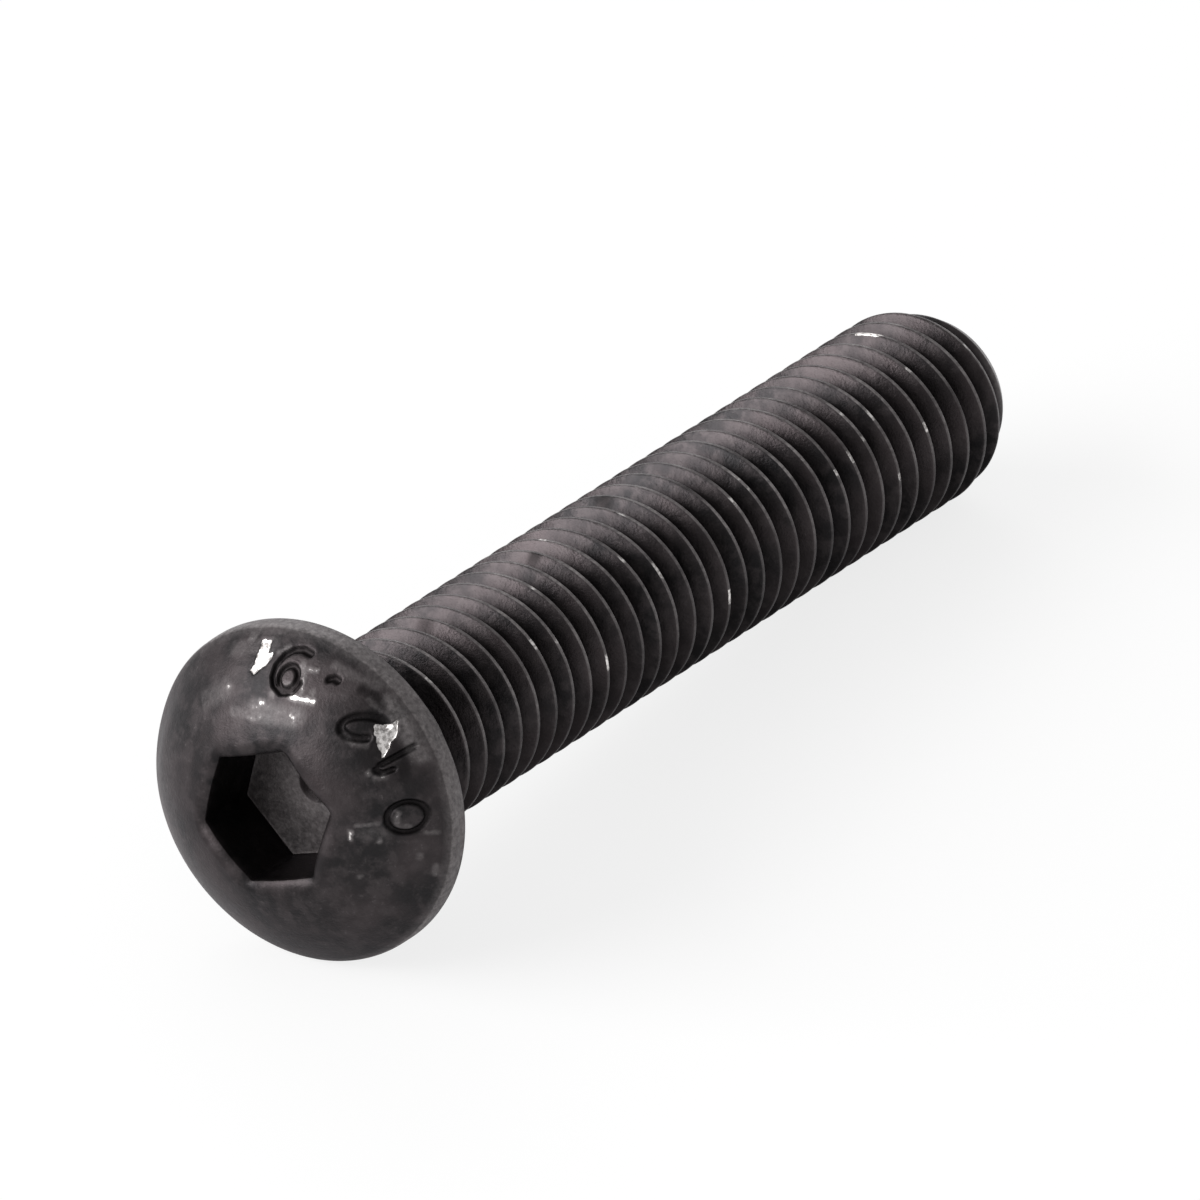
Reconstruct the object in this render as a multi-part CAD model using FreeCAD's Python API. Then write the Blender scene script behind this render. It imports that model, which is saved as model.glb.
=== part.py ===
import FreeCAD, Part
import math
import os

# Button head socket screw, M8 x 1.25 x 45, in millimetres.
# The screw is first built upright on its own axis: the underside of the head is at height 0, the
# shank runs up to the point, and the dome of the head hangs below. It is then laid on its side.

# Head
head_diameter = 13.85
head_height = 4.3
rim_height = 0.85
rim_back_radius = 0.12
rim_front_radius = 0.4

# Shank, up to the crests of its thread
shank_length = 45.0
thread_diameter = 7.92
fillet_under_head = 0.4
point_length = 2.1
point_diameter = 6.3

# Hexagon socket in the dome; a corner is at this turn from straight up when the screw lies at rest
socket_across_flats = 5.1
socket_floor_height = 0.55
socket_edge_radius = 0.38
socket_turn_deg = 11.0

# Dimple that the punch leaves in the socket's floor, a little off the axis at a turn from straight up
dimple_diameter = 1.5
dimple_depth = 0.45
dimple_off_axis = 0.53
dimple_turn_deg = 43.0

# Extra length of the punch past the dome that it cuts, and the turn of its first corner from the
# turned body's seam, which so crosses a plain stretch of one flat
punch_overrun = 2.0
seam_to_corner_deg = 20.0

# Sizes that follow
head_radius = head_diameter / 2
thread_radius = thread_diameter / 2
full_thread_end = shank_length - point_length
dome_rise = head_height - rim_height
dome_radius = (dome_rise ** 2 + head_radius ** 2) / (2 * dome_rise)
dome_centre_height = dome_radius - head_height
socket_corner_radius = socket_across_flats / (2 * math.cos(math.radians(30)))

origin = FreeCAD.Vector(0, 0, 0)
along_axis = FreeCAD.Vector(0, 0, 1)


def on_section(radius, height):
    """A point of the turned section, which lies in the XZ plane."""
    return FreeCAD.Vector(radius, 0, height)


def arc(centre, radius, start_deg, end_deg):
    """An arc of the section; 0 degrees points away from the axis and 90 towards the point."""
    points = []
    for angle in (start_deg, (start_deg + end_deg) / 2, end_deg):
        turn = math.radians(angle)
        points.append(centre + on_section(radius * math.cos(turn), radius * math.sin(turn)))
    return Part.Arc(*points).toShape()


def line(start, end):
    return Part.LineSegment(start, end).toShape()


def start_of(edge):
    return edge.valueAt(edge.FirstParameter)


def end_of(edge):
    return edge.valueAt(edge.LastParameter)


def turned_blank():
    """Head, shank and tapered point as one turned body, without the socket."""
    # The rim rolls over into the dome along an arc that is tangent to both.
    front_centre_radius = head_radius - rim_front_radius
    front_reach = dome_radius - rim_front_radius
    front_drop = math.sqrt(front_reach ** 2 - front_centre_radius ** 2)
    dome_edge_deg = -math.degrees(math.acos(front_centre_radius / front_reach))

    dome = arc(on_section(0, dome_centre_height), dome_radius, -90, dome_edge_deg)
    rim_front = arc(
        on_section(front_centre_radius, dome_centre_height - front_drop), rim_front_radius, dome_edge_deg, 0
    )
    rim_back = arc(on_section(head_radius - rim_back_radius, -rim_back_radius), rim_back_radius, 0, 90)
    fillet = arc(
        on_section(thread_radius + fillet_under_head, fillet_under_head), fillet_under_head, -90, -180
    )
    shoulder = on_section(thread_radius, full_thread_end)
    point_edge = on_section(point_diameter / 2, shank_length)
    point_middle = on_section(0, shank_length)
    outline = [
        dome,
        rim_front,
        line(end_of(rim_front), start_of(rim_back)),
        rim_back,
        line(end_of(rim_back), start_of(fillet)),
        fillet,
        line(end_of(fillet), shoulder),
        line(shoulder, point_edge),
        line(point_edge, point_middle),
        line(point_middle, start_of(dome)),
    ]
    return Part.Face(Part.Wire(outline)).revolve(origin, along_axis, 360)


def socket_punch():
    """The hexagonal punch, with the cone at its end."""
    mouth = -head_height - punch_overrun
    corners = []
    for step in range(7):
        turn = math.radians(seam_to_corner_deg + 60 * step)
        reach = socket_corner_radius
        corners.append(FreeCAD.Vector(reach * math.cos(turn), reach * math.sin(turn), mouth))
    prism = Part.Face(Part.makePolygon(corners)).extrude(along_axis * (-socket_floor_height - mouth))
    dimple_turn = math.radians(dimple_turn_deg - socket_turn_deg + seam_to_corner_deg)
    off_axis = FreeCAD.Vector(math.cos(dimple_turn), math.sin(dimple_turn), 0) * dimple_off_axis
    dimple_middle = off_axis - along_axis * socket_floor_height
    cone = Part.makeCone(dimple_diameter / 2, 0, dimple_depth, dimple_middle)
    return prism.fuse(cone)


def mouth_edges(shape):
    """The curved edges where the socket's six walls meet the dome."""
    found = []
    for edge in shape.Edges:
        middle = edge.valueAt((edge.FirstParameter + edge.LastParameter) / 2)
        in_socket = math.hypot(middle.x, middle.y) < socket_corner_radius
        if isinstance(edge.Curve, Part.Circle) and in_socket and middle.z < -rim_height:
            found.append(edge)
    return found


def screw_on_its_axis():
    screw = turned_blank().cut(socket_punch())
    screw = screw.makeFillet(socket_edge_radius, mouth_edges(screw))
    screw.rotate(origin, along_axis, socket_turn_deg - seam_to_corner_deg)
    return screw


def resting_slope_deg():
    """How far the axis slopes when the rim and the end of the full thread touch one floor."""
    along = full_thread_end + rim_back_radius
    across = head_radius - rim_back_radius - thread_radius
    reach = math.hypot(along, across)
    return math.degrees(math.atan2(across, along) + math.asin(rim_back_radius / reach))


def laid_down(screw):
    """The screw as it comes to rest, its point towards +X, centred over the origin."""
    screw.rotate(origin, along_axis, 180)
    screw.rotate(origin, FreeCAD.Vector(0, 1, 0), 90 + resting_slope_deg())
    box = screw.optimalBoundingBox(False, False)
    screw.translate(FreeCAD.Vector(-box.Center.x, -box.Center.y, -box.ZMin))
    return screw


button_head_screw = laid_down(screw_on_its_axis())
os.makedirs("parts", exist_ok=True)
button_head_screw.exportStep("parts/button_head_screw.step")
print("volume", round(button_head_screw.Volume, 2), "slope", round(resting_slope_deg(), 3))
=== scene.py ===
import math

import bmesh
import bpy
from mathutils import Matrix, Vector, noise


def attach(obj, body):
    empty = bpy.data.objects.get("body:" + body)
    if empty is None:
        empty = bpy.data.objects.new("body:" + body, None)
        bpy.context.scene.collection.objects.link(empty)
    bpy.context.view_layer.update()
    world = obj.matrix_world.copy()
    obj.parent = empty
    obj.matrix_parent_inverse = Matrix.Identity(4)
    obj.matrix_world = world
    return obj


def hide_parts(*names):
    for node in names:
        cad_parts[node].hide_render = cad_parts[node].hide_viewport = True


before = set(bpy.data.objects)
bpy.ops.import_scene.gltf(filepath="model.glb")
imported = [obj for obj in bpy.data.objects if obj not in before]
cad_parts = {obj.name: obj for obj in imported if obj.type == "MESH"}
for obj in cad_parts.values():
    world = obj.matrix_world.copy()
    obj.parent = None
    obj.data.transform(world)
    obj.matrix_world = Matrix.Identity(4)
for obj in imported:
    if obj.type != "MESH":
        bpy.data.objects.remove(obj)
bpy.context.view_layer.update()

# The button head screw, M8 x 1.25 x 45, is one piece of hardened alloy steel. The head is cold
# forged, with its hexagon socket and its numerals struck in, the thread is rolled up to the head,
# and the whole is blackened in hot oxide. It lies on its side, on its rim and its last crests.

# It is shaped upright, in millimetres, with the underside of its head at height 0, the point up and
# the dome below. Turns are measured from the side that faces up when the screw lies at rest. Three
# layers say how far bare steel shows, how far the coat is rubbed grey, with a grey painted reflection on
# one side of the dome, and how far it is painted dark, as shade and some oil.
screw = bmesh.new()
bare = screw.verts.layers.float.new("bare")
scuffs_and_painted_reflection = screw.verts.layers.float.new("scuffs_and_painted_reflection")
painted_shade_and_oil = screw.verts.layers.float.new("painted_shade_and_oil")

# Rolled thread, to its full basic form: a flat crest of an eighth of the pitch, flanks at 60 degrees
# and a rounded root. One pitch of its section, from root to root, is wound up the shank.
axis = Vector((0, 0, 1))
pitch = 1.25
crest_radius = 3.96
root_radius = crest_radius - 0.6134 * pitch
root_rounding = 0.144 * pitch
half_crest = pitch / 16
crest_rounding = 0.06
flank_turn = math.radians(30)
socket_turn = math.radians(11.0)
crest_at_socket_turn = 0.778
steps_per_turn = 96
turns = 37

# Half of the section, from the middle of the root up to the middle of the crest, as distance from the
# axis and rise over the middle of the crest. The other half is its mirror image.
corner_reach = crest_rounding * math.tan(flank_turn)
half_section = []
for turn_deg in (-90, -60, -30):
    turn = math.radians(turn_deg)
    radius = root_radius + root_rounding + root_rounding * math.sin(turn)
    half_section.append((radius, -(pitch / 2 - root_rounding * math.cos(turn))))
for down_flank in (3.6 * corner_reach, corner_reach):
    radius = crest_radius - down_flank * math.cos(flank_turn)
    half_section.append((radius, -(half_crest + down_flank / 2)))
half_section.append((crest_radius - 0.13 * crest_rounding, -half_crest * 0.94))
half_section.append((crest_radius, -(half_crest - corner_reach)))
thread_section = half_section + [(radius, -rise) for radius, rise in reversed(half_section)]


def draw_section(bm, points):
    """The half section of a turned form, drawn at the turn of one corner of the socket."""
    verts = [bm.verts.new((radius, 0, height)) for radius, height in points]
    edges = [bm.edges.new(pair) for pair in zip(verts, verts[1:])]
    bmesh.ops.rotate(bm, verts=verts, cent=(0, 0, 0), matrix=Matrix.Rotation(socket_turn, 3, "Z"))
    return verts + edges


first_crest = crest_at_socket_turn - pitch
section = draw_section(screw, [(radius, first_crest + rise) for radius, rise in thread_section])
bmesh.ops.spin(
    screw,
    geom=section,
    cent=(0, 0, 0),
    axis=axis,
    dvec=(0, 0, pitch / steps_per_turn),
    angle=2 * math.pi,
    steps=steps_per_turn,
    use_merge=False,
    use_duplicate=False,
)
one_turn = screw.verts[:] + screw.edges[:] + screw.faces[:]
for turn_number in range(1, turns):
    copy = bmesh.ops.duplicate(screw, geom=one_turn)["geom"]
    copied = [item for item in copy if isinstance(item, bmesh.types.BMVert)]
    bmesh.ops.translate(screw, verts=copied, vec=axis * pitch * turn_number)
bmesh.ops.remove_doubles(screw, verts=screw.verts, dist=0.001)

# Shank: the thread fades into the neck under the head, and its crests sink into the tapered point,
# as rolling leaves them on a blank whose end was turned to a taper first.
shank_length = 45.0
full_thread_end = 42.9
neck_radius = 3.57
neck_end = 0.9
run_out = 1.7
point_radius = 3.15
point_edge_rounding = 0.14
point_end = shank_length - point_edge_rounding


def eased(amount):
    """0 below 0, 1 above 1, and a smooth rise between them."""
    amount = min(max(amount, 0.0), 1.0)
    return amount * amount * (3 - 2 * amount)


def blank_radius(height):
    """The crests' radius up the shank, with the rounded taper of the point."""
    taper = max(height - full_thread_end, 0) / (point_end - full_thread_end)
    return crest_radius - (crest_radius - point_radius) * taper ** 1.5


for vert in screw.verts:
    vert.co.z = min(max(vert.co.z, neck_end), point_end)
    radius = math.hypot(vert.co.x, vert.co.y)
    top = blank_radius(vert.co.z)
    root = min(root_radius, top)
    radius_here = root + (radius - root_radius) * (top - root) / (crest_radius - root_radius)
    rolled = eased((vert.co.z - neck_end) / run_out)
    radius_here = neck_radius + (radius_here - neck_radius) * rolled
    vert.co.x *= radius_here / radius
    vert.co.y *= radius_here / radius
bmesh.ops.remove_doubles(screw, verts=screw.verts, dist=0.0005)


# End of the point: its edge is rounded and its face is slightly cupped, as cutting the blank and
# rolling the thread leave it. Each ring of it is a drop from the edge and a rise.
def open_ring(bm, at_height):
    """The open edges at a height."""
    found = []
    for edge in bm.edges:
        if edge.is_boundary and all(abs(vert.co.z - at_height) < 1e-4 for vert in edge.verts):
            found.append(edge)
    return found


def next_ring(bm, ring, place, middle=Vector((0, 0, 0))):
    """Carries an open ring on: place gives the new distance and height for a turn and distance."""
    grown = bmesh.ops.extrude_edge_only(bm, edges=ring)["geom"]
    verts = {item for item in grown if isinstance(item, bmesh.types.BMVert)}
    for vert in verts:
        away = vert.co - middle
        turn = math.atan2(away.y, away.x)
        radius, height = place(turn, math.hypot(away.x, away.y))
        vert.co = (middle.x + radius * math.cos(turn), middle.y + radius * math.sin(turn), height)
    edges = [item for item in grown if isinstance(item, bmesh.types.BMEdge)]
    return [edge for edge in edges if all(vert in verts for vert in edge.verts)]


def close_ring(bm, ring, middle):
    """Draws an open ring together in one point."""
    verts = list({vert for edge in ring for vert in edge.verts})
    bmesh.ops.pointmerge(bm, verts=verts, merge_co=middle)


ring = open_ring(screw, point_end)
for drop, rise in ((0.05, 0.09), (0.14, 0.135), (0.3, 0.14), (0.8, 0.06), (1.5, 0.0), (2.4, -0.02)):
    ring = next_ring(screw, ring, lambda turn, radius: (point_radius - drop, point_end + rise))
close_ring(screw, ring, (0, 0, point_end - 0.02))


# Neck, where the thread fades out, and the fillet that carries it into the flat underside of the
# head. Both are left by heading and rolling the blank.
def arc_points(radius, height, rounding, start_deg, end_deg, count):
    """Points of a rounded corner of the turned section, as distance from the axis and height."""
    points = []
    for step in range(count):
        turn = math.radians(start_deg + (end_deg - start_deg) * step / (count - 1))
        points.append((radius + rounding * math.cos(turn), height + rounding * math.sin(turn)))
    return points


fillet_under_head = 0.5
underside_join = 4.6
rays_of_head = 288
ring = open_ring(screw, neck_end)
fillet = arc_points(neck_radius + fillet_under_head, fillet_under_head, fillet_under_head, -180, -90, 5)
for section_radius, section_height in fillet + [(4.3, 0)]:
    ring = next_ring(screw, ring, lambda turn, radius: (section_radius, section_height))

# The head has three times as many faces round it as the shank, so the ring is divided to meet it.
bmesh.ops.subdivide_edges(screw, edges=ring, cuts=rays_of_head // steps_per_turn - 1)
ring = next_ring(screw, open_ring(screw, 0), lambda turn, radius: (underside_join, 0))

# Head: underside, rim and dome, forged in one. They are drawn as one turned section that goes as far
# in as the surround of the socket, with close rings on the band of the dome that has the numerals.
head_radius = 6.925
head_height = 4.3
rim_height = 0.85
rim_back_rounding = 0.12
rim_front_rounding = 0.4
band_outer = 6.62
band_inner = 3.8
rings_of_band = 20
surround = 3.58
dome_rise = head_height - rim_height
dome_radius = (dome_rise ** 2 + head_radius ** 2) / (2 * dome_rise)
dome_centre_height = dome_radius - head_height


def on_dome(radius):
    """Height of the dome's surface at a distance from the axis."""
    return dome_centre_height - math.sqrt(dome_radius ** 2 - radius ** 2)


# The rim rolls over into the dome along an arc that is tangent to both.
back_middle = head_radius - rim_back_rounding
front_middle = head_radius - rim_front_rounding
front_reach = dome_radius - rim_front_rounding
front_height = dome_centre_height - math.sqrt(front_reach ** 2 - front_middle ** 2)
dome_edge_deg = -math.degrees(math.acos(front_middle / front_reach))
head_section = [(underside_join, 0), (5.1, 0), (5.7, 0), (6.4, 0)]
head_section += arc_points(back_middle, -rim_back_rounding, rim_back_rounding, 90, 0, 4)
head_section += [(head_radius, -0.32), (head_radius, -0.52)]
head_section += arc_points(front_middle, front_height, rim_front_rounding, 0, dome_edge_deg, 6)
dome_rings = []
for step in range(rings_of_band):
    dome_rings.append(band_outer - (band_outer - band_inner) * step / (rings_of_band - 1))
for radius in dome_rings + [3.68, surround]:
    head_section.append((radius, on_dome(radius)))
section = draw_section(screw, head_section)
bmesh.ops.spin(
    screw,
    geom=section,
    cent=(0, 0, 0),
    axis=axis,
    dvec=(0, 0, 0),
    angle=2 * math.pi,
    steps=rays_of_head,
    use_merge=True,
    use_duplicate=False,
)
join = [vert for vert in screw.verts if abs(vert.co.z) < 1e-4 and vert.is_boundary]
bmesh.ops.remove_doubles(screw, verts=join, dist=0.01)

# Hexagon socket, punched: its mouth is drawn in with the dome, most of all on one side, and its floor
# has the mark of the punch's tip, a little off the axis. The floor is dull grey, and the walls and that
# mark are painted dark, as the shade in them.
across_flats = 5.1
corner_rounding = 0.12
worn_side = math.radians(41)
floor_height = -0.55
floor_rounding = 0.03
dimple_centre = Vector((0.388, 0.361, 0))
dimple_radius = 0.75


def hexagon(turn, flats, rounding):
    """Distance from the axis to the outline of a hexagon with rounded corners."""
    half = flats / 2
    from_flat = abs((turn - socket_turn) % math.radians(60) - math.radians(30))
    inner_half = half - rounding
    if half * math.tan(from_flat) <= inner_half * math.tan(math.radians(30)):
        return half / math.cos(from_flat)
    centre = inner_half / math.cos(math.radians(30))
    from_corner = math.radians(30) - from_flat
    sideways = centre * math.sin(from_corner)
    return centre * math.cos(from_corner) + math.sqrt(rounding ** 2 - sideways ** 2)


def on_lip(turn, share):
    """Distance and height of the mouth's lip at a share of its roll from the dome to the wall."""
    worn = eased(math.cos(turn - worn_side))
    mouth_rounding = 0.5 + 0.06 * worn
    lip_end = math.radians(45 + 17 * worn)
    reach = mouth_rounding * math.sin(lip_end)
    ball = hexagon(turn, across_flats + 2 * reach, corner_rounding + 2 * reach)
    tilt = math.asin(ball / (dome_radius - mouth_rounding))
    roll = tilt - share * (tilt + lip_end)
    outward = reach + mouth_rounding * math.sin(roll)
    radius = hexagon(turn, across_flats + 2 * outward, corner_rounding + 2 * outward)
    middle = dome_centre_height - (dome_radius - mouth_rounding) * math.cos(tilt)
    return radius, middle - mouth_rounding * math.cos(roll)


# The mouth: its lip, and the first of the wall under it
ring = open_ring(screw, on_dome(surround))
for share in (0.0, 0.14, 0.3, 0.46, 0.62, 0.78, 0.94, 1.0):
    ring = next_ring(screw, ring, lambda turn, radius: on_lip(turn, share))
ring = next_ring(screw, ring, lambda turn, radius: (radius, on_lip(turn, 1.0)[1] + 0.03))

# The wall and its rounded corner with the floor
wall_top = max(vert.co.z for edge in ring for vert in edge.verts) + 0.01
wall_foot = floor_height - floor_rounding
for share in (0.0, 0.5, 0.97, 1.0):
    wall_height = wall_top + (wall_foot - wall_top) * share
    ring = next_ring(screw, ring, lambda turn, radius: (radius, wall_height))
for inward, rise in ((0.012, 0.018), (floor_rounding, floor_rounding)):
    ring = next_ring(screw, ring, lambda turn, radius: (radius - inward, wall_foot + rise))

# The floor, whose rings pass from the hexagon to the round of the dimple, and the dimple
edge_of_dimple = dimple_radius + 0.06
for share in (0.06, 0.5, 1.0):
    ring = next_ring(
        screw,
        ring,
        lambda turn, radius: (radius + (edge_of_dimple - radius) * share, floor_height),
        dimple_centre,
    )
for across, depth in ((dimple_radius, 0.02), (0.68, 0.07), (0.4, 0.25), (0.15, 0.39), (0.06, 0.42)):
    ring = next_ring(screw, ring, lambda turn, radius: (across, floor_height + depth), dimple_centre)
close_ring(screw, ring, dimple_centre + axis * (floor_height + 0.43))

for vert in screw.verts:
    radius = math.hypot(vert.co.x, vert.co.y)
    from_dimple = (vert.co - dimple_centre).to_2d().length
    if abs(vert.co.z - floor_height) < 0.005 and radius < 2.9:
        vert[scuffs_and_painted_reflection] = 0.34
    # Painted shade on the walls and, below, in the mark of the punch's tip.
    elif wall_top - 0.01 < vert.co.z < floor_height and radius < 2.98:
        vert[painted_shade_and_oil] = 0.8
    elif floor_height < vert.co.z < 0 and from_dimple < dimple_radius + 0.02:
        vert[painted_shade_and_oil] = 0.7

# The stretch of the dome that has the struck numerals and the chips gets a mesh three times as fine.
band_start = math.radians(-46)
band_end = math.radians(115)


def in_band(vert):
    """Whether a vertex is on that stretch."""
    radius = math.hypot(vert.co.x, vert.co.y)
    if not band_inner - 0.01 < radius < band_outer + 0.01 or vert.co.z > on_dome(radius) + 0.01:
        return False
    return band_start < math.atan2(vert.co.y, vert.co.x) < band_end


band = {vert for vert in screw.verts if in_band(vert)}
band_edges = [edge for edge in screw.edges if all(vert in band for vert in edge.verts)]
bmesh.ops.subdivide_edges(screw, edges=band_edges, cuts=2, use_grid_fill=True)
band = [vert for vert in screw.verts if in_band(vert)]


# Numerals of the strength class, struck cold into the dome, with a low burr raised round them. Each
# is one or more lines of points, right and up from the axis as the dome is seen from the front, with
# half the width of its stroke. Their grooves are painted dark, as the shade in them. One is worn to a
# smear, darkened, with a darker patch of the coat beside it.
def oval(right, up, wide, tall, start_deg=0, end_deg=360):
    """The points of an oval line or of a part of one."""
    points = []
    for step in range(21):
        turn = math.radians(start_deg + (end_deg - start_deg) * step / 20)
        points.append((right + wide * math.cos(turn), up + tall * math.sin(turn)))
    return points


strike_depth = 0.15
strike_reach = 2.2
burr_height = 0.014
burr_width = 0.05
numerals = (
    (oval(5.56, 1.12, 0.61, 0.61), 0.145),
    ([(5.25, 3.74), (4.42, 3.10)], 0.19),
    ([(4.3, 2.92), (4.55, 2.8), (4.85, 2.95)], 0.16),
    (oval(3.46, 4.38, 0.76, 0.38, 10, 290), 0.2),
    ([(1.62, 5.76), (1.80, 5.82), (1.98, 5.76)], 0.15),
    (oval(0.02, 5.52, 0.38, 0.38), 0.13),
    ([(0.52, 6.36), (0.15, 6.42), (-0.22, 6.34), (-0.52, 6.12), (-0.69, 5.75)], 0.14),
    ([(-0.69, 5.75), (-0.66, 5.42), (-0.48, 5.18), (-0.05, 5.0), (0.42, 5.12), (0.6, 5.45)], 0.12),
)
dark_patch_line = ((2.9, 4.75), (4.9, 3.0))
smear = ((3.0, 5.62), (3.5, 5.4), (3.9, 5.1))


def from_line(right, up, points):
    """Distance from a point to a line of points."""
    nearest = math.inf
    for (ax, ay), (bx, by) in zip(points, points[1:]):
        length = (bx - ax) ** 2 + (by - ay) ** 2
        share = ((right - ax) * (bx - ax) + (up - ay) * (by - ay)) / length
        share = min(max(share, 0.0), 1.0)
        nearest = min(nearest, math.hypot(right - ax - share * (bx - ax), up - ay - share * (by - ay)))
    return nearest


# Two chips where a knock has taken the black coat off the steel, given by their outlines, and the
# nicks and rubs round them, each a short line with half its width and how bare it is.
chip_depth = 0.04
chip_edge = 0.12
chips = (
    (
        (-1.84, 6.26), (-1.35, 6.37), (-1.30, 6.08), (-1.25, 6.0), (-1.07, 6.06),
        (-1.02, 5.88), (-1.10, 5.68), (-1.35, 5.45), (-1.55, 5.23),
        (-1.78, 5.28), (-1.66, 5.5), (-1.73, 5.75), (-1.75, 6.0),
    ),
    (
        (3.81, 4.51), (4.11, 4.51), (4.39, 4.54), (4.50, 4.69), (4.58, 4.44), (4.64, 4.19), (4.56, 3.94),
        (4.53, 3.72), (4.47, 3.39), (4.39, 3.33), (4.36, 3.56), (4.19, 3.72), (4.08, 3.94), (3.92, 4.17),
    ),
)
nicks = (
    ((0.42, 4.97), (1.36, 4.98), 0.07, 0.9),
    ((0.35, 5.93), (1.05, 5.92), 0.03, 0.52),
    ((0.38, 6.05), (0.60, 5.80), 0.05, 0.44),
    ((0.62, 5.75), (0.78, 5.20), 0.05, 0.44),
    ((-0.85, 6.1), (-0.5, 6.36), 0.03, 0.37),
    ((0.0, 5.30), (0.22, 5.32), 0.05, 0.37),
    ((3.3, 5.3), (3.9, 4.93), 0.03, 0.37),
    ((2.85, 4.08), (3.3, 3.8), 0.04, 0.37),
    ((3.3, 3.8), (3.8, 3.75), 0.04, 0.37),
    ((5.28, 0.9), (5.28, 1.3), 0.04, 0.44),
    ((5.28, 0.76), (5.67, 0.75), 0.03, 0.37),
    ((4.11, 2.78), (4.12, 2.8), 0.08, 0.41),
    ((4.36, 2.62), (4.68, 2.66), 0.06, 0.44),
    ((3.77, 0.20), (3.77, 0.42), 0.08, 0.75),
    ((-2.52, 4.51), (-2.48, 4.51), 0.08, 0.52),
    ((-0.74, 4.48), (-0.66, 4.50), 0.09, 0.60),
    ((0.70, 4.38), (0.80, 4.36), 0.09, 0.55),
    ((-1.0, 4.26), (-0.85, 4.3), 0.06, 0.44),
    ((-0.66, 4.07), (-0.58, 4.05), 0.06, 0.44),
    ((-1.12, 3.9), (-0.8, 3.9), 0.05, 0.44),
    ((0.82, 4.2), (0.86, 4.24), 0.06, 0.44),
    ((0.98, 4.48), (1.06, 4.4), 0.05, 0.41),
    ((-0.42, 4.86), (-0.36, 4.84), 0.05, 0.37),
    ((1.18, 5.3), (1.24, 5.28), 0.05, 0.37),
    ((4.0, 0.72), (4.72, 0.85), 0.03, 0.37),
    ((4.8, 0.12), (4.8, 0.25), 0.04, 0.44),
    ((4.18, 5.6), (4.26, 5.5), 0.09, 0.6),
    ((4.9, 5.0), (5.05, 4.8), 0.06, 0.52),
    ((5.22, 4.67), (5.28, 4.6), 0.06, 0.5),
    ((5.67, 3.8), (5.7, 3.7), 0.05, 0.5),
    ((4.45, 5.3), (4.55, 5.22), 0.06, 0.5),
    ((4.62, 4.98), (4.66, 4.9), 0.05, 0.5),
    ((4.95, 4.42), (5.05, 4.36), 0.05, 0.48),
    ((5.4, 4.2), (5.44, 4.1), 0.04, 0.5),
    ((3.72, 5.72), (3.86, 5.66), 0.05, 0.5),
    ((6.2, 0.46), (6.5, 0.43), 0.03, 0.37),
    ((6.0, -0.5), (6.02, -0.6), 0.04, 0.37),
    ((6.45, -1.0), (6.4, -1.4), 0.04, 0.37),
    ((4.1, -1.5), (4.15, -1.45), 0.04, 0.34),
    ((-2.4, 6.1), (-2.2, 6.2), 0.05, 0.41),
)
rubs = (
    ((-0.9, 4.2), (0.9, 4.35), 0.5, 0.24),
    ((-3.6, 3.6), (-2.6, 4.4), 0.5, 0.16),
    ((-1.9, 3.85), (-1.0, 4.0), 0.25, 0.16),
    ((4.0, 5.35), (5.6, 3.4), 0.36, 0.42),
    ((1.6, 6.2), (3.4, 5.7), 0.2, 0.2),
    ((-3.0, 5.6), (-1.2, 6.3), 0.3, 0.14),
    ((4.3, 0.4), (4.9, 0.5), 0.4, 0.14),
)


def from_chip(right, up, outline):
    """Distance from a point to a chip's outline, negative inside it."""
    closed = outline + outline[:1]
    inside = False
    for (ax, ay), (bx, by) in zip(closed, closed[1:]):
        if (ay > up) != (by > up) and right < ax + (bx - ax) * (up - ay) / (by - ay):
            inside = not inside
    gap = from_line(right, up, closed)
    return -gap if inside else gap


for vert in band:
    right, up = vert.co.y, vert.co.x
    radius = math.hypot(right, up)
    vert.co.z = on_dome(radius)
    sink = 0.0
    for line, half_width in numerals:
        if max(abs(right - line[0][0]), abs(up - line[0][1])) > strike_reach:
            continue
        gap = from_line(right, up, line)
        groove = 1 - eased((gap - 0.04) / (half_width - 0.04))
        sink = max(sink, strike_depth * groove)
        sink -= burr_height * math.exp(-(((gap - half_width - burr_width) / burr_width) ** 2))
        # Painted shade in the groove.
        vert[painted_shade_and_oil] = max(vert[painted_shade_and_oil], 0.85 - 0.85 * eased((gap - 0.7 * half_width) / (0.5 * half_width)))
    ragged = 0.05 * noise.noise(Vector((right * 6, up * 6, 0)))
    for outline in chips:
        chipped = eased(0.5 - (from_chip(right, up, outline) + ragged) / chip_edge)
        vert[bare] = max(vert[bare], chipped)
        sink += chip_depth * chipped
    for start, end, half_width, strength in nicks:
        if max(abs(right - start[0]), abs(up - start[1])) < 1.4:
            gap = from_line(right, up, (start, end)) + ragged - half_width
            vert[bare] = max(vert[bare], strength * eased(0.5 - gap / chip_edge))
            vert[scuffs_and_painted_reflection] = max(vert[scuffs_and_painted_reflection], 0.8 * strength * eased(0.8 - gap / 0.16))
    for start, end, half_width, strength in rubs:
        gap = from_line(right, up, (start, end))
        vert[scuffs_and_painted_reflection] = max(vert[scuffs_and_painted_reflection], strength * eased(1.2 - gap / half_width))
    # A darker patch of the coat beside the smear, which is darkened too.
    dark_patch = 0.4 * eased(1.3 - from_line(right, up, dark_patch_line) / 0.75)
    smeared = 0.75 * eased(1.2 - from_line(right, up, smear) / 0.24)
    vert[painted_shade_and_oil] = max(vert[painted_shade_and_oil], dark_patch, smeared)
    sink += 0.05 * smeared
    inward = Vector((-vert.co.x, -vert.co.y, dome_centre_height - vert.co.z)) / dome_radius
    vert.co += inward * sink
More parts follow.
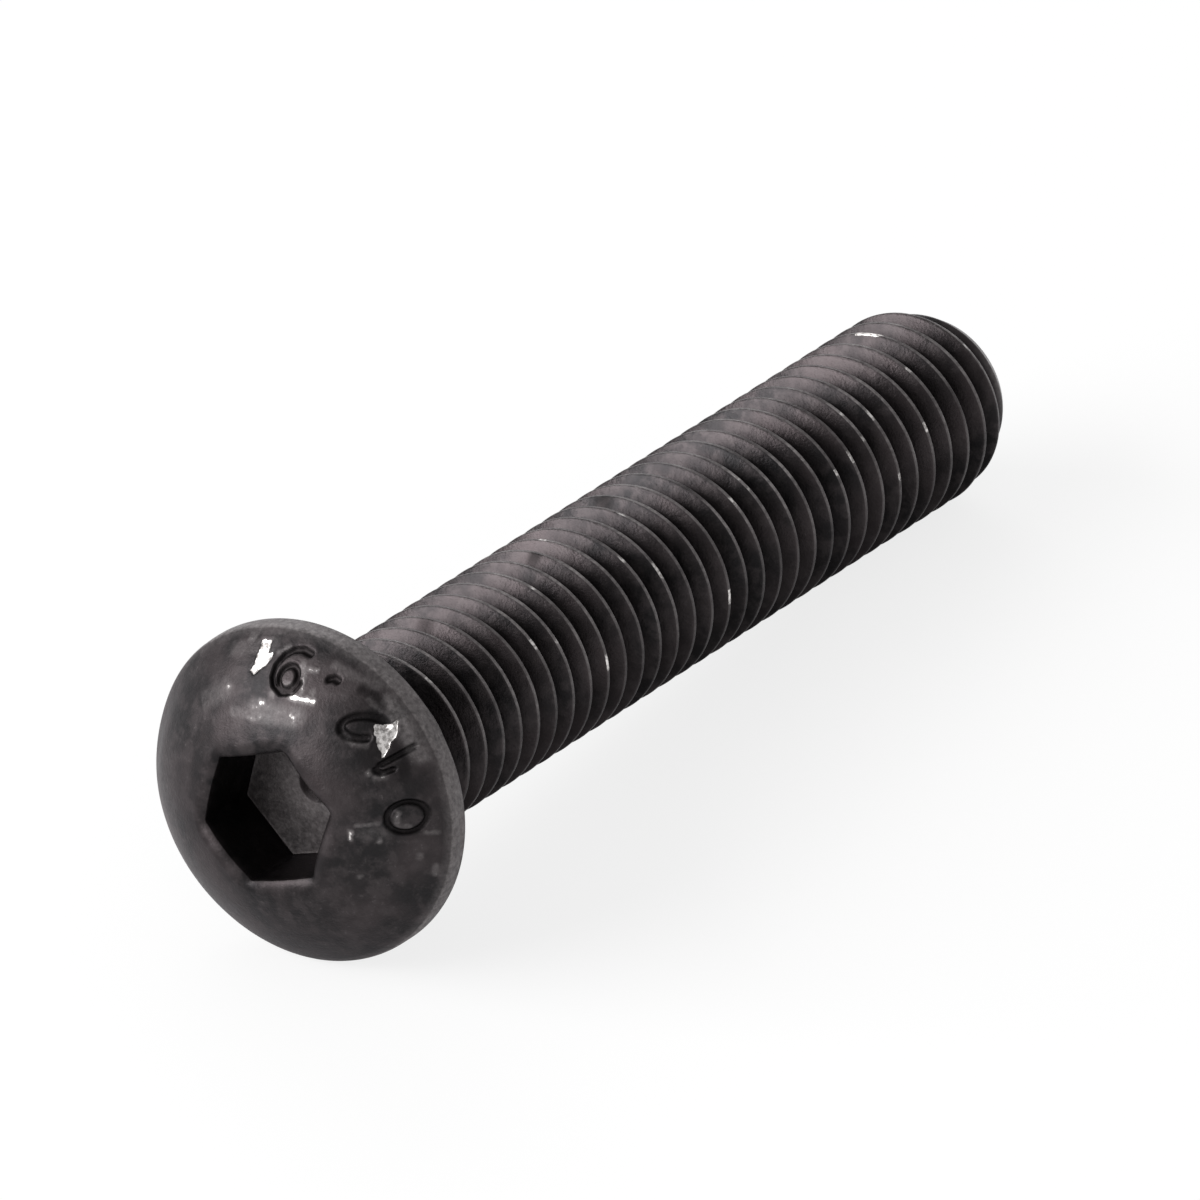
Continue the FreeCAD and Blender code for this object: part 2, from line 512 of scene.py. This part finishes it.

# Rim: its front edge is rubbed grey all round, the dome beside it is dulled and greyed on one side,
# which is a drag's wear and a painted reflection, and it is pressed a little flat where it met something
# hard.
drag_and_painted_reflection_turn = math.radians(-112)
drag_and_painted_reflection_spread = math.radians(42)
pressed_turn = math.radians(-78)
pressed_spread = math.radians(24)
press_depth = 0.15
press_start = 5.6
for vert in screw.verts:
    radius = math.hypot(vert.co.x, vert.co.y)
    turn = math.atan2(vert.co.y, vert.co.x)
    if vert.co.z < -0.1 and radius > 3.3:
        # Duller, lighter grey beside the rim on one side: wear, and a painted reflection.
        beside = math.exp(-(((turn - drag_and_painted_reflection_turn) / drag_and_painted_reflection_spread) ** 2))
        drag_and_painted_reflection = 0.22 * eased((radius - 3.8) / 2.4) * beside
        vert[scuffs_and_painted_reflection] = max(vert[scuffs_and_painted_reflection], 0.02 + drag_and_painted_reflection, 0.6 * eased((radius - 6.8) / 0.1))
    if vert.co.z < -0.35 and radius > press_start:
        off_turn = math.atan2(math.sin(turn - pressed_turn), math.cos(turn - pressed_turn))
        beside = math.exp(-((off_turn / pressed_spread) ** 2))
        press = press_depth * eased((radius - press_start) / 1.1) * beside
        vert.co += Vector((-vert.co.x, -vert.co.y, dome_centre_height - vert.co.z)) / dome_radius * press

# Wear of the shank: its crests are rubbed grey through the coat, most of all on one side, with a bright
# nick here and there. A dent's shade is painted dark here and there, without shaping the dent, and the
# roots are painted dark as shade, with some oil, least on the side towards the strong soft box. A nick is
# its height, its turn in degrees, how long and how bare it is, and a dent its height, its turn and half
# its width.
crest_nicks = (
    (4.7, 32, 5, 0.6), (10.9, 46, 5, 0.95), (12.1, 53, 2, 0.7), (14.8, 79, 8, 0.7), (13.3, 18, 4, 0.7),
    (18.4, 33, 5, 0.8), (19.7, 49, 9, 0.8), (20.5, 8, 6, 0.7), (21.9, 20, 3, 0.6), (23.6, 86, 7, 0.8),
    (25.9, 38, 5, 0.8), (27.1, 28, 3, 0.9), (27.2, 38, 3, 0.7), (32.2, 57, 4, 0.85), (33.4, 53, 6, 0.95),
    (34.6, 31, 3, 0.75), (34.6, 48, 4, 0.9), (35.9, 39, 7, 0.8), (35.9, 79, 5, 0.7), (38.4, 62, 4, 0.85),
    (39.6, 29, 5, 0.7), (39.7, 58, 3, 0.6), (40.75, -10, 14, 0.8), (43.3, 36, 7, 0.6), (16.9, -10, 5, 0.6),
)
painted_dent_shades = ((7.9, -4, 0.3), (36.2, 4, 0.3), (15.6, -2, 0.2), (21.7, -14, 0.35), (6.6, 7, 0.25))
for vert in screw.verts:
    if vert.co.z < 0.3 or vert.co.z > point_end + 0.01:
        continue
    radius = math.hypot(vert.co.x, vert.co.y)
    turn = math.degrees(math.atan2(vert.co.y, vert.co.x))
    below = blank_radius(vert.co.z) - radius
    patch = noise.noise(Vector((vert.co.x * 0.6, vert.co.y * 0.6, vert.co.z * 0.5)))
    crest = 1 - eased((below - 0.008) / 0.024)
    worn = (0.5 + 0.5 * eased((turn - 4) / 22)) * (1 - 0.65 * eased((turn - 45) / 45))
    vert[scuffs_and_painted_reflection] = crest * (0.62 + 0.6 * patch) * worn
    # Painted shade in the roots, with some oil, deepening round from the side that faces the strong soft
    # box.
    root_shade_by_turn = 0.2 + 0.45 * eased((turn + 30) / 30) + 0.35 * eased((turn - 4) / 24)
    vert[painted_shade_and_oil] = eased((below - 0.03) / 0.32) * root_shade_by_turn
    for height, middle, length, strength in crest_nicks:
        if abs(vert.co.z - height) < 0.3 and abs(turn - middle) < length:
            wide = 0.1 if length > 10 else 0.025
            hit = eased(1.3 - below / wide) * eased(1.5 - 1.5 * abs(turn - middle) / length)
            vert[bare] = max(vert[bare], strength * hit)
    # Painted shade of a dent; the dent itself is not shaped.
    for height, middle, half_width in painted_dent_shades:
        gap = math.hypot(vert.co.z - height, math.radians(turn - middle) * radius * 0.6)
        vert[painted_shade_and_oil] = max(vert[painted_shade_and_oil], eased(1.4 - gap / half_width))

# The finished screw is laid down as it comes to rest, on its rim and the end of its full thread, and
# made the piece that replaces the solid.
rest_slope = math.radians(3.943)
underside_centre = Vector((-0.0205802, 0, 0.0069006))
faces_up = Vector((math.sin(rest_slope), 0, math.cos(rest_slope)))
along = Vector((math.cos(rest_slope), 0, -math.sin(rest_slope)))
resting_turn = Matrix((faces_up, Vector((0, -1, 0)), along)).transposed()
laid_down = Matrix.Translation(underside_centre) @ resting_turn.to_4x4() @ Matrix.Scale(0.001, 4)
bmesh.ops.recalc_face_normals(screw, faces=screw.faces)
bmesh.ops.transform(screw, matrix=laid_down, verts=screw.verts)
for face in screw.faces:
    face.smooth = True
screw_mesh = bpy.data.meshes.new("button_head_screw_piece")
screw.to_mesh(screw_mesh)
screw.free()
screw_piece = bpy.data.objects.new("threaded_button_head_screw", screw_mesh)
bpy.context.collection.objects.link(screw_piece)


def linear(hex_colour):
    """An sRGB hex colour as the linear values that a shader takes."""
    values = []
    for start in (1, 3, 5):
        value = int(hex_colour[start:start + 2], 16) / 255
        values.append(value / 12.92 if value <= 0.04045 else ((value + 0.055) / 1.055) ** 2.4)
    return (*values, 1)


def add_node(tree, kind, inputs, **settings):
    """Adds a node, sets it and joins it up: a socket among its inputs is linked, a value is set."""
    node = tree.nodes.new(kind)
    for name, value in settings.items():
        setattr(node, name, value)
    for name, value in inputs.items():
        if isinstance(value, bpy.types.NodeSocket):
            tree.links.new(value, node.inputs[name])
        else:
            node.inputs[name].default_value = value
    return node


# Black oxide on forged and rolled steel: a thin black skin with a low sheen, slightly mottled with
# brown, that lets the steel's grain show and is rubbed to grey and to bright steel where it is hit.
black_oxide = bpy.data.materials.new("black_oxide_steel_rolled")
black_oxide.use_nodes = True
tree = black_oxide.node_tree
shader = tree.nodes["Principled BSDF"]

# The patterns are laid in millimetres along the screw's own axis.
turn_back = resting_turn.transposed()
on_screw = {
    "Vector": add_node(tree, "ShaderNodeTexCoord", {}).outputs["Object"],
    "Location": -(turn_back @ underside_centre) * 1000,
    "Rotation": turn_back.to_euler(),
    "Scale": (1000, 1000, 1000),
}
millimetres = add_node(tree, "ShaderNodeMapping", on_screw).outputs["Vector"]

# Patches 3 mm wide, blotches 0.7 mm, rubs 0.2 mm, and a forged grain of 0.1 mm that is drawn
# coarser than the real one so that it shows
noises = []
for width, detail, roughness in ((3.0, 3, 0.5), (0.7, 5, 0.6), (0.2, 4, 0.65), (0.11, 3, 0.6)):
    inputs = {"Vector": millimetres, "Scale": 1 / width, "Detail": detail, "Roughness": roughness}
    noises.append(add_node(tree, "ShaderNodeTexNoise", inputs).outputs["Fac"])
patches, blotches, rubbed, grain = noises

# Coat: black with a brown cast in patches
in_patches = {"Value": patches, "From Min": 0.35, "From Max": 0.65}
in_patches = add_node(tree, "ShaderNodeMapRange", in_patches, interpolation_type="SMOOTHSTEP")
colours = {0: in_patches.outputs[0], 6: linear("#272627"), 7: linear("#3c3738")}
coat = add_node(tree, "ShaderNodeMix", colours, data_type="RGBA").outputs[2]
in_blotches = {"Value": blotches, "From Min": 0.42, "From Max": 0.66, "To Max": 0.6}
in_blotches = add_node(tree, "ShaderNodeMapRange", in_blotches, interpolation_type="SMOOTHSTEP")
colours = {0: in_blotches.outputs[0], 6: coat, 7: linear("#494445")}
coat = add_node(tree, "ShaderNodeMix", colours, data_type="RGBA").outputs[2]

# Grey where the coat is rubbed, and a painted reflection in grey on one side of the dome
scuffs_and_painted_reflection_there = add_node(tree, "ShaderNodeAttribute", {}, attribute_name="scuffs_and_painted_reflection").outputs["Fac"]
speckled = {"Value": rubbed, "From Min": 0.36, "From Max": 0.68, "To Min": 0.6, "To Max": 1.4}
speckled = add_node(tree, "ShaderNodeMapRange", speckled).outputs[0]
up_shank = add_node(tree, "ShaderNodeSeparateXYZ", {"Vector": millimetres}).outputs["Z"]
on_head = {"Value": up_shank, "From Min": -0.5, "From Max": 0.5, "To Min": 1.0, "To Max": 0.0}
on_head = add_node(tree, "ShaderNodeMapRange", on_head).outputs[0]

# Sparse pale specks on the head, where screws knock against each other in the box
specks = {"Value": rubbed, "From Min": 0.6, "From Max": 0.74, "To Max": 0.4}
specks = add_node(tree, "ShaderNodeMapRange", specks).outputs[0]
specks = add_node(tree, "ShaderNodeMath", {0: specks, 1: on_head}, operation="MULTIPLY").outputs[0]
specks = {0: specks, 1: in_blotches.outputs[0]}
specks = add_node(tree, "ShaderNodeMath", specks, operation="MULTIPLY").outputs[0]
rubs_and_painted_reflection = {0: scuffs_and_painted_reflection_there, 1: speckled, 2: specks}
rubs_and_painted_reflection = add_node(tree, "ShaderNodeMath", rubs_and_painted_reflection, operation="MULTIPLY_ADD")
colours = {0: rubs_and_painted_reflection.outputs[0], 6: coat, 7: linear("#7d7878")}
coat = add_node(tree, "ShaderNodeMix", colours, data_type="RGBA").outputs[2]

# Painted shade in the roots, the numerals, the socket and the dents, with some oil in the roots
painted_shade_and_oil_there = add_node(tree, "ShaderNodeAttribute", {}, attribute_name="painted_shade_and_oil").outputs["Fac"]
painted_shade_and_oil_amount = add_node(tree, "ShaderNodeMath", {0: painted_shade_and_oil_there, 1: 0.75}, operation="MULTIPLY")
colours = {0: painted_shade_and_oil_amount.outputs[0], 6: coat, 7: linear("#0c0b0b")}
coat = add_node(tree, "ShaderNodeMix", colours, data_type="RGBA").outputs[2]

# Steel, with a broken edge, where the coat is gone
bare_there = add_node(tree, "ShaderNodeAttribute", {}, attribute_name="bare").outputs["Fac"]
broken = add_node(tree, "ShaderNodeMath", {0: grain, 1: 0.7, 2: bare_there}, operation="MULTIPLY_ADD")
steel = {"Value": broken.outputs[0], "From Min": 0.74, "From Max": 1.05}
steel = add_node(tree, "ShaderNodeMapRange", steel, interpolation_type="SMOOTHSTEP").outputs[0]
mottled = {"Value": rubbed, "From Min": 0.38, "From Max": 0.6}
mottled = add_node(tree, "ShaderNodeMapRange", mottled, interpolation_type="SMOOTHSTEP").outputs[0]
colours = {0: mottled, 6: linear("#9b9795"), 7: linear("#f0ecea")}
bright = add_node(tree, "ShaderNodeMix", colours, data_type="RGBA").outputs[2]
colours = {0: steel, 6: coat, 7: bright}
colour = add_node(tree, "ShaderNodeMix", colours, data_type="RGBA").outputs[2]
tree.links.new(colour, shader.inputs["Base Color"])
shader.inputs["Specular Tint"].default_value = linear("#eeecee")

# A rubbed coat is dull, and the black skin and the steel both shine as metal.
dull = {0: rubs_and_painted_reflection.outputs[0], 1: -0.95, 2: 1.0}
dull = add_node(tree, "ShaderNodeMath", dull, operation="MULTIPLY_ADD").outputs[0]
metallic = add_node(tree, "ShaderNodeMath", {0: dull, 1: steel}, operation="MAXIMUM").outputs[0]
tree.links.new(metallic, shader.inputs["Metallic"])

# The coat's sheen is a little rougher on the forged head than on the rolled thread.
rough = {"Value": blotches, "From Min": 0.3, "From Max": 0.7, "To Min": 0.3, "To Max": 0.42}
rough = add_node(tree, "ShaderNodeMapRange", rough).outputs[0]
rough = {0: on_head, 1: 0.14, 2: rough}
rough = add_node(tree, "ShaderNodeMath", rough, operation="MULTIPLY_ADD").outputs[0]
rough = add_node(tree, "ShaderNodeMix", {0: steel, 2: rough, 3: 0.36}, data_type="FLOAT").outputs[0]
tree.links.new(rough, shader.inputs["Roughness"])

# A relief of a hundredth of a millimetre, from the forged grain, and the step down to the bare steel
relief = {0: blotches, 1: 1.6, 2: grain}
relief = add_node(tree, "ShaderNodeMath", relief, operation="MULTIPLY_ADD").outputs[0]
relief = {0: steel, 1: -0.5, 2: relief}
relief = add_node(tree, "ShaderNodeMath", relief, operation="MULTIPLY_ADD").outputs[0]
uneven = {"Height": relief, "Distance": 0.000013, "Strength": 1.0}
uneven = add_node(tree, "ShaderNodeBump", uneven).outputs["Normal"]
tree.links.new(uneven, shader.inputs["Normal"])
screw_mesh.materials.append(black_oxide)

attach(screw_piece, "root")
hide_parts("button_head_screw")

# Floor: a sheet of white board under the screw. To the camera it is close to pure white and keeps
# the screw's soft shadow, and in the screw's own reflections the shadow is as deep as a real one.
floor_sheet = bmesh.new()
bmesh.ops.create_grid(floor_sheet, x_segments=1, y_segments=1, size=3)
floor_mesh = bpy.data.meshes.new("floor_sheet")
floor_sheet.to_mesh(floor_mesh)
floor_sheet.free()
floor_piece = bpy.data.objects.new("floor_sheet", floor_mesh)
bpy.context.collection.objects.link(floor_piece)
white_board = bpy.data.materials.new("white_board")
white_board.use_nodes = True
tree = white_board.node_tree
board = tree.nodes["Principled BSDF"]
board.inputs["Base Color"].default_value = linear("#f2f2f2")
board.inputs["Roughness"].default_value = 0.9
rays = add_node(tree, "ShaderNodeLightPath", {}).outputs
in_camera = {0: rays["Is Camera Ray"], 1: rays["Is Transmission Ray"]}
in_camera = add_node(tree, "ShaderNodeMath", in_camera, operation="MAXIMUM").outputs[0]
in_camera = add_node(tree, "ShaderNodeMath", {0: in_camera, 1: 0.8}, operation="MULTIPLY").outputs[0]
in_gloss = {0: rays["Is Glossy Ray"], 1: 0.1}
in_gloss = add_node(tree, "ShaderNodeMath", in_gloss, operation="MULTIPLY").outputs[0]
share = add_node(tree, "ShaderNodeMath", {0: in_camera, 1: in_gloss}, operation="MAXIMUM").outputs[0]
glow = add_node(tree, "ShaderNodeEmission", {"Color": (1, 1, 1, 1), "Strength": 1.0}).outputs[0]
blend = add_node(tree, "ShaderNodeMixShader", {0: share, 1: board.outputs[0], 2: glow}).outputs[0]
tree.links.new(blend, tree.nodes["Material Output"].inputs["Surface"])
floor_mesh.materials.append(white_board)

# Studio: a pale room that gives an even low light, and two soft boxes, a strong one on the head's
# side and a weak one behind the shank.
studio = bpy.data.worlds.new("pale_room")
bpy.context.scene.world = studio
studio.use_nodes = True
studio.node_tree.nodes["Background"].inputs["Color"].default_value = (1, 1, 1, 1)
studio.node_tree.nodes["Background"].inputs["Strength"].default_value = 0.5


def soft_box(name, direction, distance, width, height, power):
    """A soft box that faces the screw from a direction."""
    lamp = bpy.data.lights.new(name, "AREA")
    lamp.shape = "RECTANGLE"
    lamp.size = width
    lamp.size_y = height
    lamp.energy = power
    holder = bpy.data.objects.new(name, lamp)
    bpy.context.collection.objects.link(holder)
    holder.location = Vector(direction).normalized() * distance
    holder.rotation_euler = Vector(direction).to_track_quat("Z", "Y").to_euler()


soft_box("soft_box_left", (-0.68, 0.54, 0.50), 1.1, 1.1, 0.55, 16.0)
soft_box("soft_box_behind", (0.60, 0.62, 0.50), 1.3, 0.9, 0.5, 4.0)

# Camera: a long lens from the head's side, a little above it, as the screw was photographed. Its
# focal length is in pixels of the photo's frame, as it was fitted to the outline and the thread.
frame_pixels = 1200
focal_pixels = 37094.6
camera = bpy.data.cameras.new("long_lens")
camera.sensor_width = 36
camera.lens = focal_pixels / frame_pixels * camera.sensor_width
camera.clip_start = 0.1
camera_holder = bpy.data.objects.new("long_lens", camera)
bpy.context.collection.objects.link(camera_holder)
camera_holder.location = (-1.066744, -0.68614, 0.701490)
looking = Vector((0.737287, 0.474367, -0.481023))
camera_holder.rotation_euler = looking.to_track_quat("-Z", "Y").to_euler()
bpy.context.scene.camera = camera_holder
bpy.context.scene.view_settings.view_transform = "Standard"
